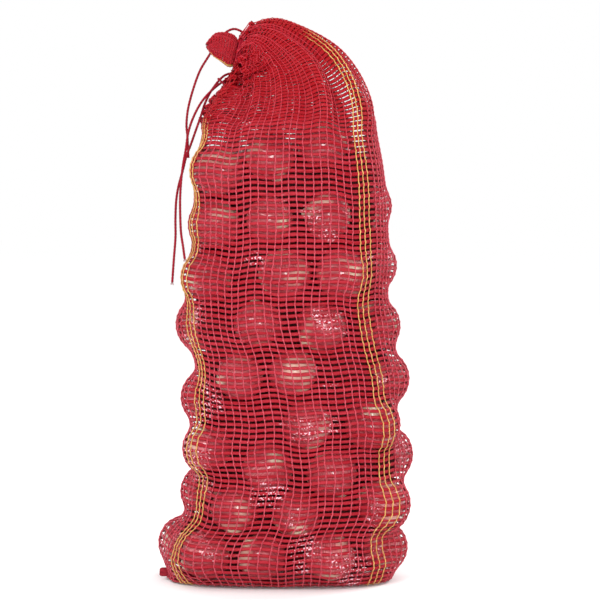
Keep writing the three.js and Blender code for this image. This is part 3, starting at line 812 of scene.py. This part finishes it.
def starting_rings():
    """The netting before it settles: a ring for each row, from the bottom seam to the tie."""
    rings = []
    for row in range(UNDERSIDE_ROWS):
        share = row / UNDERSIDE_ROWS
        left, right = (
            np.array([first + (last - first) * share, 0, SEAM_TOP]) for first, last in UNDERSIDE_ENDS
        )
        rings.append(section_ring(left, right, SEAM_HALF_DEPTH + UNDERSIDE_HALF_DEPTH * share, TWIST))
    body_rows = int(BODY_HEIGHT / WEFT_PITCH)
    for row in range(body_rows):
        z = FIRST_ROW_HEIGHT + (BODY_HEIGHT - FIRST_ROW_HEIGHT) * row / body_rows
        swell = 1 - FOOT_SWELL + FOOT_SWELL * smooth_step(z, 0, FOOT_HEIGHT)
        near_shoulder = smooth_step(z, SHOULDER_START * BODY_HEIGHT, BODY_HEIGHT)
        depth = HALF_DEPTH + (SHOULDER_HALF_DEPTH - HALF_DEPTH) * near_shoulder
        left, right = at_height(BODY_LEFT, z), at_height(BODY_RIGHT, z)
        rings.append(section_ring(left, right, depth * swell, twist_at(z)))
    for row in range(NECK_ROWS):
        share = row / NECK_ROWS
        left, right = at_share(NECK_LEFT, share), at_share(NECK_RIGHT, share)
        depth = CINCH_HALF_DEPTH + (SHOULDER_HALF_DEPTH - CINCH_HALF_DEPTH) * (1 - share) ** 1.1
        rings.append(section_ring(left, right, depth, turn=NECK_TURN * share**0.7))
    rings.append(section_ring(CINCH_BOTTOM, CINCH_TOP, CINCH_HALF_DEPTH, turn=NECK_TURN))
    return np.array(rings)


def outward(points):
    """Directions out of the netting, and along its warps and wefts."""
    up = unit(np.gradient(points, axis=0))
    around = unit(np.roll(points, -1, axis=1) - np.roll(points, 1, axis=1))
    out = unit(np.cross(up, around))
    return out, up, around


def wavering(random, rows, waves, size):
    """A smooth field over the netting that closes on itself round the sack."""
    row = np.linspace(0, 1, rows)[:, None]
    column = 2 * np.pi * np.arange(WARPS)[None, :] / WARPS
    field = np.zeros((rows, WARPS))
    for round_it in waves:
        up = random.uniform(-6, 6)
        start, sway = random.uniform(0, 2 * np.pi, 2)
        field += np.sin(round_it * column + start + up * row + 1.5 * np.sin(5 * row + sway))
    return size * field / math.sqrt(len(waves))


def add_folds(points, first_row, random):
    """Starts the folds that run into the gather, and the small waves of rows and columns."""
    out, up, around = outward(points)
    rows = len(points)
    share = np.clip((np.arange(rows) - first_row) / (rows - 1 - first_row), 0, 1)[:, None]
    folds = wavering(random, rows, FOLD_WAVES, 1.0)
    folds = folds + FINE_FOLD_SHARE * wavering(random, rows, FINE_FOLD_WAVES, 1.0)
    size = FOLD_DEPTH * share**0.9 * (1 - 0.7 * share**4)
    level = wavering(random, rows, (2, 3, 5, 7), 1.2 * MM)
    aside = wavering(random, rows, (2, 4, 9), 0.9 * MM)
    return points + out * (folds * size)[..., None] + up * level[..., None] + around * aside[..., None]


def pull_threads(a, b, shortest, longest):
    """Moves both ends of each thread piece so that its length is allowed. Works in place."""
    apart = b - a
    length = np.maximum(np.linalg.norm(apart, axis=-1, keepdims=True), 1e-7)
    wanted = np.clip(length, shortest, longest)
    change = apart * (1 - wanted / length) * 0.5 * FIRMNESS
    a += change
    b -= change


def pull_wefts(points, shortest, longest):
    after = np.roll(np.arange(WARPS), -1)
    for first in (0, 1):
        here = np.arange(first, WARPS, 2)
        a, b = points[:, here], points[:, after[here]]
        pull_threads(a, b, shortest, longest)
        points[:, here], points[:, after[here]] = a, b


def pull_warps(points):
    rows = len(points)
    for first in (0, 1):
        last = first + 2 * ((rows - first) // 2)
        pull_threads(points[first:last:2], points[first + 1:last:2], *WARP_GIVE)


def push_out(points, near):
    for centre, radius, places in zip(bulb_centres, bulb_radii, near):
        offset = points[places] - centre
        distance = np.linalg.norm(offset, axis=-1, keepdims=True)
        points[places] = centre + offset * np.maximum(1, (radius + OVER_BULB) / distance)


def stay_above_floor(points):
    over_seam = np.abs(points[:, :, 1]) < SEAM_REACH
    points[:, :, 2] = np.maximum(points[:, :, 2], np.where(over_seam, SEAM_TOP, FLOOR_GAP))


def blend(values, neck_share):
    """The body's value, which turns into the neck's."""
    return values["body"] + (values["neck"] - values["body"]) * neck_share


def settle(points, rounds, first_neck_row):
    """Draws the netting tight: its threads pull in, and the bulbs and the floor push it out."""
    start = points.copy()
    rows = len(points)
    row = np.arange(rows)[:, None, None]
    hold = np.where(row > first_neck_row, HOLD["neck"], HOLD["body"])
    hold = np.where(row < UNDERSIDE_ROWS + CORNER_ROWS, HOLD["corners"], hold)
    hold = np.where(row < UNDERSIDE_ROWS, HOLD["underside"], hold)
    neck_share = np.clip((row - first_neck_row) / (rows - 1 - first_neck_row), 0, 1)
    longest = WARP_PITCH * (TIGHTNESS + (1 - TIGHTNESS) * smooth_step(neck_share, 0, 0.15))
    shortest = longest * blend(SHORTEST_WEFT, neck_share)
    in_neck = smooth_step(neck_share, 0, 0.25)
    round_smoothing, height_smoothing = blend(ROUND_SMOOTHING, in_neck), blend(HEIGHT_SMOOTHING, in_neck)
    for turn in range(rounds):
        if turn % NEAR_STEP == 0:
            near = [
                np.nonzero(np.linalg.norm(points - centre, axis=-1) < radius + NEAR_REACH)
                for centre, radius in zip(bulb_centres, bulb_radii)
            ]
        pull_wefts(points, shortest, longest)
        pull_warps(points)
        around = (np.roll(points, 1, axis=1) + np.roll(points, -1, axis=1)) / 2
        above = points.copy()
        above[1:-1] = (points[2:] + points[:-2]) / 2
        points += round_smoothing * (around - points) + height_smoothing * (above - points)
        points += hold * (start - points)
        push_out(points, near)
        stay_above_floor(points)
        points[0] = start[0]
        points[-TIED_ROWS:] = start[-TIED_ROWS:]
    return points


def keep_ends(moved, points):
    """The moved netting, with its underside and its rows at the tie put back."""
    moved[:UNDERSIDE_ROWS] = points[:UNDERSIDE_ROWS]
    moved[-TIED_ROWS:] = points[-TIED_ROWS:]
    return moved


def slide_apart(points):
    """Threads slide off the crown of each bulb that they cross, and crowd in the hollows between."""
    out, _, _ = outward(points)
    moved = points.copy()
    for centre, radius in zip(bulb_centres, bulb_radii):
        offset = points - centre
        aside = offset - out * np.sum(offset * out, axis=-1, keepdims=True)
        distance = np.linalg.norm(offset, axis=-1, keepdims=True)
        touching = smooth_step(radius + NEAR_REACH - distance, 0, NEAR_REACH)
        reach = np.linalg.norm(aside, axis=-1, keepdims=True) / SPREAD_REACH
        moved += SPREAD * touching * aside / SPREAD_REACH * np.exp(-reach**2)
    return keep_ends(moved, points)


def waver_rows(points, random, first_neck_row):
    """Rows and columns of a handled net are never quite even, and the empty neck is crumpled."""
    out, up, around = outward(points)
    rows = len(points)
    in_neck = smooth_step(np.arange(rows) - first_neck_row, -4, 6)[:, None]
    level = wavering(random, rows, (3, 5, 8, 13), ROW_WAVER) * (1 + NECK_WAVER * in_neck)
    aside = wavering(random, rows, (4, 9, 14), COLUMN_WAVER)
    dents = wavering(random, rows, (5, 8, 12, 17), CRUMPLE) * in_neck
    moved = points + up * level[..., None] + around * aside[..., None] + out * dents[..., None]
    return keep_ends(moved, points)


def make_netting_form():
    """Where each warp crosses each weft, as (rows, warps, 3)."""
    random = np.random.default_rng(12)
    rings = starting_rings()
    first_neck_row = len(rings) - NECK_ROWS - 1
    folded = add_folds(rings, first_neck_row - ROWS_BELOW_NECK, random)
    settled = settle(folded, SETTLE_ROUNDS, first_neck_row)
    placed = waver_rows(slide_apart(settled), random, first_neck_row)
    push_out(placed, [tuple(np.indices(placed.shape[:2]))] * len(bulb_centres))
    stay_above_floor(placed)
    return placed


netting = make_netting_form()


# ---- the weave ----

TAPE_WIDTH = 4.9 * MM
TAPE_HALF_THICKNESS = 0.1 * MM
WIDTH_RANGE = (0.84, 1.06)  # from one row to another
TAPE_PINCH = 0.84  # how much of its width a tape keeps where a warp holds it
TAPE_STEPS = 2  # between two warps
TAPE_HEIGHTS = (-0.15 * MM, 0.08 * MM)  # of its middle, at a warp and between two warps
TAPE_CRINKLE = 0.12 * MM
TAPE_TILT = 0.14  # how far it leans in slow waves along it
# A tape's section: (across, as a share of half its width; side of its middle; crinkle).
TAPE_SECTION = [(-1, 0, 0), (-0.45, 1, 0), (0.45, 1, 1), (1, 0, 1), (0.45, -1, 1), (-0.45, -1, 0)]
# A tape's width as a share of the row spacing. It's 1 or more where the cloth lies in folds, over
# the left and middle of the neck, and in between at the sack's sides.
OPEN_COVER = 0.84
FOLDED_COVER = 1.12
SIDE_COVER = 0.5
FOLDED_HEIGHTS = (0.515, 0.56)
FOLDED_SPAN = (0.03, 0.085)
FOLDED_TILT = 0.3
SIDE_FACING = (0.7, 0.95)  # how squarely the netting faces left or right at the sack's sides
STRAND = 1.2 * MM
STRAND_STEPS = 3  # between two wefts
STRAND_REACH = 0.62 * MM  # how far the front strand stands over a tape
STRAND_DIP = 0.75  # the share of that reach that it loses between two tapes
STRAND_SWAY = 0.5 * MM
MARKER_STRAND = 1.35 * MM
MARKER_RISE = 0.25 * MM  # how much further a marker yarn stands out
CROWDED_SPACING = 2.6 * MM  # warps that are nearer to each other than this are drawn thinner
THINNEST = 0.5
MARKER_GROUPS = {"front_right": 6, "front_left": 30, "back_left": 40, "back_right": 63}
MARKER_DRAW = 0.22  # the outer yarns of a group lie nearer to its middle one, by this share
MARKERS_IN_GROUP = 3


def between(values, share):
    """Values on the closed rings, a share of the way to the next column, on a smooth curve."""
    return spline(*(np.roll(values, shift, axis=1) for shift in (1, 0, -1, -2)), share)


def row_spacing(points):
    steps = np.linalg.norm(np.diff(points, axis=0), axis=-1)
    padded = np.vstack([steps[:1], steps, steps[-1:]])
    return (padded[1:] + padded[:-1]) / 2


def tape_sections(points, random):
    """The weft tapes of every row as (rows, places, 6 corners, 3)."""
    out, up, around = outward(points)
    rows = len(points)
    folded = smooth_step(points[..., 2], *FOLDED_HEIGHTS)
    folded = folded * (1 - smooth_step(points[..., 0], *FOLDED_SPAN))
    at_side = SIDE_COVER * smooth_step(np.abs(out[..., 0]), *SIDE_FACING)
    dense = np.maximum(folded, at_side)
    cover = OPEN_COVER + (FOLDED_COVER - OPEN_COVER) * dense
    width = np.minimum(TAPE_WIDTH * (1 + 0.3 * dense), cover * row_spacing(points))
    width = width * random.uniform(*WIDTH_RANGE, size=(rows, 1))
    tilt = TAPE_TILT * np.sin(np.arange(WARPS) * 0.7 + random.uniform(0, 6.3, size=(rows, 1)))
    tilt = tilt + FOLDED_TILT * folded * random.normal(size=(rows, WARPS))
    up = unit(up + out * tilt[..., None])
    out = unit(np.cross(up, around))
    places = []
    for step in range(TAPE_STEPS):
        share = step / TAPE_STEPS
        pinch = TAPE_PINCH if step == 0 else 1.0
        centre = between(points, share)
        across = unit(between(up, share))
        away = unit(between(out, share))
        half = between(width[..., None], share) / 2 * pinch
        half = half * random.uniform(0.95, 1.02, size=(rows, WARPS, 1))
        crinkle = random.uniform(-TAPE_CRINKLE, TAPE_CRINKLE, size=(2, rows, WARPS, 1))
        centre = centre + away * TAPE_HEIGHTS[0 if step == 0 else 1]
        corners = []
        for aside, side, part in TAPE_SECTION:
            rise = side * TAPE_HALF_THICKNESS + abs(side) * crinkle[part]
            corners.append(centre + across * half * aside + away * rise)
        places.append(np.stack(corners, axis=2))
    return np.stack(places, axis=2).reshape(rows, -1, 6, 3)


def strand_path(points, out, around, column, front, reach):
    """The middle of one warp strand: over each tape in front or behind, crossing in the gaps."""
    rows = len(points)
    along = np.arange((rows - 1) * STRAND_STEPS + 1) / STRAND_STEPS

    def finer(values):
        columns = [np.interp(along, np.arange(rows), values[:, column, axis]) for axis in range(3)]
        return np.stack(columns, axis=-1)

    line, normal, aside = finer(points), unit(finer(out)), unit(finer(around))
    side = 1 if front else -1
    steps = np.linalg.norm(np.gradient(line, axis=0), axis=-1) * STRAND_STEPS
    room = np.clip(steps / WEFT_PITCH, 0.15, 1)
    over = side * reach * (1 - STRAND_DIP + STRAND_DIP * np.cos(np.pi * along) ** 2)
    swing = side * STRAND_SWAY * room * np.cos(np.pi * along)
    return line + normal * over[:, None] + aside * swing[:, None], normal, aside


def strand_sections(path, normal, aside, diameter):
    spokes = normal, aside, -normal, -aside
    return np.stack([path + spoke * diameter / 2 for spoke in spokes], axis=1)


def draw_groups_in(points, markers):
    """Draws the yarns of each marker group nearer to each other."""
    drawn = points.copy()
    for first in markers.values():
        left, middle, right = ((first + place) % WARPS for place in range(MARKERS_IN_GROUP))
        for outer in (left, right):
            drawn[:, outer] += MARKER_DRAW * (points[:, middle] - points[:, outer])
    return drawn


def weave(points, name, body, warp_pieces, markers):
    """Lays every tape and strand along the netting's form. The first piece holds the tapes."""
    random = np.random.default_rng(3)
    points = draw_groups_in(points, markers)
    lofts = Lofts()
    for tape in tape_sections(points, random):
        lofts.add(tape, closed_along=True)
    pieces = [lofts.piece(f"{name}_weft", TAPE, body, "netting")]
    out, _, around = outward(points)
    spacing = np.linalg.norm(np.roll(points, -1, axis=1) - points, axis=-1).mean(axis=1)
    along = np.arange((len(points) - 1) * STRAND_STEPS + 1) / STRAND_STEPS
    slim = np.interp(along, np.arange(len(points)), spacing) / CROWDED_SPACING
    slim = np.clip(slim, THINNEST, 1)[:, None]
    marked = {(first + place) % WARPS: group for group, first in markers.items()
              for place in range(MARKERS_IN_GROUP)}
    marker_lofts = {group: Lofts() for group in markers}
    for part, columns in enumerate(np.array_split(np.arange(WARPS), warp_pieces)):
        lofts = Lofts()
        for column in columns:
            for front in (True, False):
                in_group = marked.get(column) if front else None
                diameter = MARKER_STRAND if in_group else STRAND
                reach = STRAND_REACH + (MARKER_RISE if in_group else 0)
                path, normal, aside = strand_path(points, out, around, column, front, reach)
                sections = strand_sections(path, normal * slim, aside * slim, diameter)
                (marker_lofts[in_group] if in_group else lofts).add(sections)
        pieces.append(lofts.piece(f"{name}_warp_{part + 1}", WARP, body, "netting"))
    for group, lofts in marker_lofts.items():
        made = lofts.piece(f"marker_{group}", MARKERS[group.split("_")[-1]], body, "marker_yarn")
        if f"marker_yarns_{group}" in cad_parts:
            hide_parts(f"marker_yarns_{group}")
        pieces.append(made)
    return pieces


# ---- ruffle ----

RUFFLE_ROWS = 11
RUFFLE_PLEATS = 7
RUFFLE_HALF_DEPTH = (8 * MM, 12.5 * MM)  # at the tie and at its widest
RUFFLE_TURN_IN = {9: 0.93, 10: 0.76, 11: 0.45}  # the last rows fold in, to these shares of their size
RUFFLE_MARKER = 29
# The outlines of part.mjs, [x, z], in metres.
RUFFLE_TOP = np.array([[-54.5, 649], [-60, 656.5], [-71, 659.5], [-82, 658], [-91, 651]]) * MM
RUFFLE_BOTTOM = np.array([[-61.5, 618], [-67, 617.5], [-74, 623], [-82, 629], [-90, 635]]) * MM


def ruffle_form():
    """The free edge of the mouth, from the tie outwards: a puffed lobe of pleats, its edge turned in."""
    random = np.random.default_rng(4)
    rings = []
    column = np.arange(WARPS)
    sway = random.uniform(0, 2 * np.pi, 3)
    for row in range(RUFFLE_ROWS + 1):
        share = row / RUFFLE_ROWS
        top, bottom = at_share(RUFFLE_TOP, share), at_share(RUFFLE_BOTTOM, share)
        depth = RUFFLE_HALF_DEPTH[0] + (RUFFLE_HALF_DEPTH[1] - RUFFLE_HALF_DEPTH[0]) * share**0.5
        ring = section_ring(bottom, top, depth)
        centre = ring.mean(axis=0)
        turn = 2 * np.pi * column / WARPS
        wave = np.cos(RUFFLE_PLEATS * turn + sway[0] + 0.8 * share)
        crumple = np.sin(3 * turn + sway[1] + 2.5 * share)
        crumple = crumple + 0.6 * np.sin(11 * turn + sway[2] - 4 * share)
        fold = 1 - (0.1 + 0.2 * share) * (1 - wave) / 2 + 0.035 * crumple
        ring = centre + (ring - centre) * (fold * RUFFLE_TURN_IN.get(row, 1))[:, None]
        edge = NECK_AXIS * 1.2 * MM * np.sin(4 * turn + sway[0])[:, None] * share
        rings.append(ring + edge)
    return np.array(rings)


def make_ruffle():
    pieces = weave(ruffle_form(), "ruffle", "ruffle", 1, {"mouth": RUFFLE_MARKER})
    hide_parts("mouth_ruffle")
    return pieces


# ---- the cloth ----

def make_cloth():
    """The sack's netting and its ruffle are one sheet, gathered at the tie."""
    ruffle = make_ruffle()
    tapes, *rest = weave(netting, "netting", "sack", 3, MARKER_GROUPS)
    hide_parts("mesh_body")


make_cloth()


# ---- bottom seam ----

HEM_RIGHT = 118 * MM
HEM_TAB = 40 * MM  # the left end of the hem stands up over this length
HEM_TAB_TILT = math.radians(62)
HEM_TAB_WIDTH = 11 * MM
HEM_TAB_LIFT = 4 * MM
HEM_TAB_FORWARD = 4 * MM
HEM_RIPPLE = 0.9 * MM
HEM_STITCH = 4 * MM
HEM_RINGS = 260
HEM_SIDES = 28


def make_seam():
    """The hem: cloth folded flat under the sack, with its left end standing up as a wavy tab."""
    low, high = (np.array(corner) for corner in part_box("bottom_seam"))
    length = HEM_RIGHT - low[0]
    along = np.linspace(0, 1, HEM_RINGS)[:, None]
    around = np.linspace(0, 2 * np.pi, HEM_SIDES, endpoint=False)[None, :]
    raised = 1 - smooth_step(along * length, 0.5 * HEM_TAB, 1.4 * HEM_TAB)
    width = (high[1] - low[1]) * (1 - raised) + HEM_TAB_WIDTH * raised
    taper = np.minimum(1, np.minimum(along, 1 - along) / 0.01) ** 0.5 * 0.35 + 0.65
    level, deep = boxy(around, 0.4)
    across = level * width / 2 * taper
    thick = (high[2] - low[2]) / 2
    stitched = 1 - 0.35 * np.exp(-((across / width - 0.28) / 0.05) ** 2)
    stitched = stitched * (1 - 0.12 * np.abs(np.sin(np.pi * along * length / HEM_STITCH)))
    lift = deep * thick * stitched
    ripple = HEM_RIPPLE * raised * np.sin(along * length / (9 * MM))
    tilt = HEM_TAB_TILT * raised
    up = (across + width / 2) * np.sin(tilt) + lift * np.cos(tilt)
    y = across * np.cos(tilt) - lift * np.sin(tilt) + ripple - HEM_TAB_FORWARD * raised
    z = thick + np.maximum(up, -thick) + HEM_TAB_LIFT * raised
    x = low[0] + length * along + np.zeros_like(across)
    piece = loft_piece("hem", np.stack([x, y, z], axis=-1), HEM, "sack", "hem")
    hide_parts("bottom_seam")


make_seam()


# ---- tie ----

TIE_GAP = 0.9 * MM  # from the gather's outline to the middle of the cord
TIE_RINGS = 260
TIE_SPACING = 1.7  # between the two turns' ends, in cord diameters


def make_tie():
    """Two turns of the drawstring round the gather."""
    middle = (CINCH_TOP + CINCH_BOTTOM) / 2
    upward = unit(CINCH_TOP - CINCH_BOTTOM)
    half_height = np.linalg.norm(CINCH_TOP - CINCH_BOTTOM) / 2 + TIE_GAP
    half_depth = CINCH_HALF_DEPTH + TIE_GAP
    turn = np.linspace(0, 4 * np.pi, TIE_RINGS)
    high, deep = boxy(turn, 2 / CORNER_POWER)
    slide = (turn / (4 * np.pi) - 0.5) * CORD_DIAMETER * TIE_SPACING
    line = middle + high[:, None] * half_height * upward + slide[:, None] * NECK_AXIS
    line[:, 1] -= deep * half_depth
    sections = cord_sections(line, CORD_DIAMETER, CORD_TWIST)
    piece = loft_piece("tie_turns", sections, CORD, "sack", "drawstring")
    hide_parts("neck_tie")


make_tie()


# ---- studio ----

FLOOR_REACH = 8
LIGHT_AIM = (0, 0, 0.35)
# Name, place, width and height, and power in watts.
LIGHTS = [
    ("key", (-1.1, -1.9, 1.7), (0.9, 0.9), 26),
    ("front", (0.35, -2.2, 0.75), (0.5, 0.7), 14),
    ("rim", (1.6, 0.8, 1.4), (0.8, 1.0), 16),
]


def make_floor():
    mesh = bpy.data.meshes.new("floor")
    corners = [(x * FLOOR_REACH, y * FLOOR_REACH, 0) for x, y in ((-1, -1), (1, -1), (1, 1), (-1, 1))]
    mesh.from_pydata(corners, [], [(0, 1, 2, 3)])
    pale = new_material("studio_floor", (0.995, 0.995, 0.995), 0.9, Specular_IOR_Level=0.0)
    mesh.materials.append(pale)
    floor = place_object("floor", mesh)


def add_light(name, place, size, power):
    data = bpy.data.lights.new(name, "AREA")
    data.shape = "RECTANGLE"
    data.size, data.size_y = size
    data.energy = power
    light = place_object(name, data)
    light.location = place
    away = unit(np.array(LIGHT_AIM, float) - np.array(place, float))
    light.rotation_euler = (math.acos(-away[2]), 0, math.atan2(away[1], away[0]) - math.pi / 2)


def make_studio():
    make_floor()
    world = bpy.data.worlds.new("studio")
    bpy.context.scene.world = world
    world.use_nodes = True
    backdrop = world.node_tree.nodes["Background"]
    backdrop.inputs["Color"].default_value = (1, 1, 1, 1)
    backdrop.inputs["Strength"].default_value = 1.0
    for light in LIGHTS:
        add_light(*light)
    bpy.context.scene.view_settings.view_transform = "Standard"


make_studio()
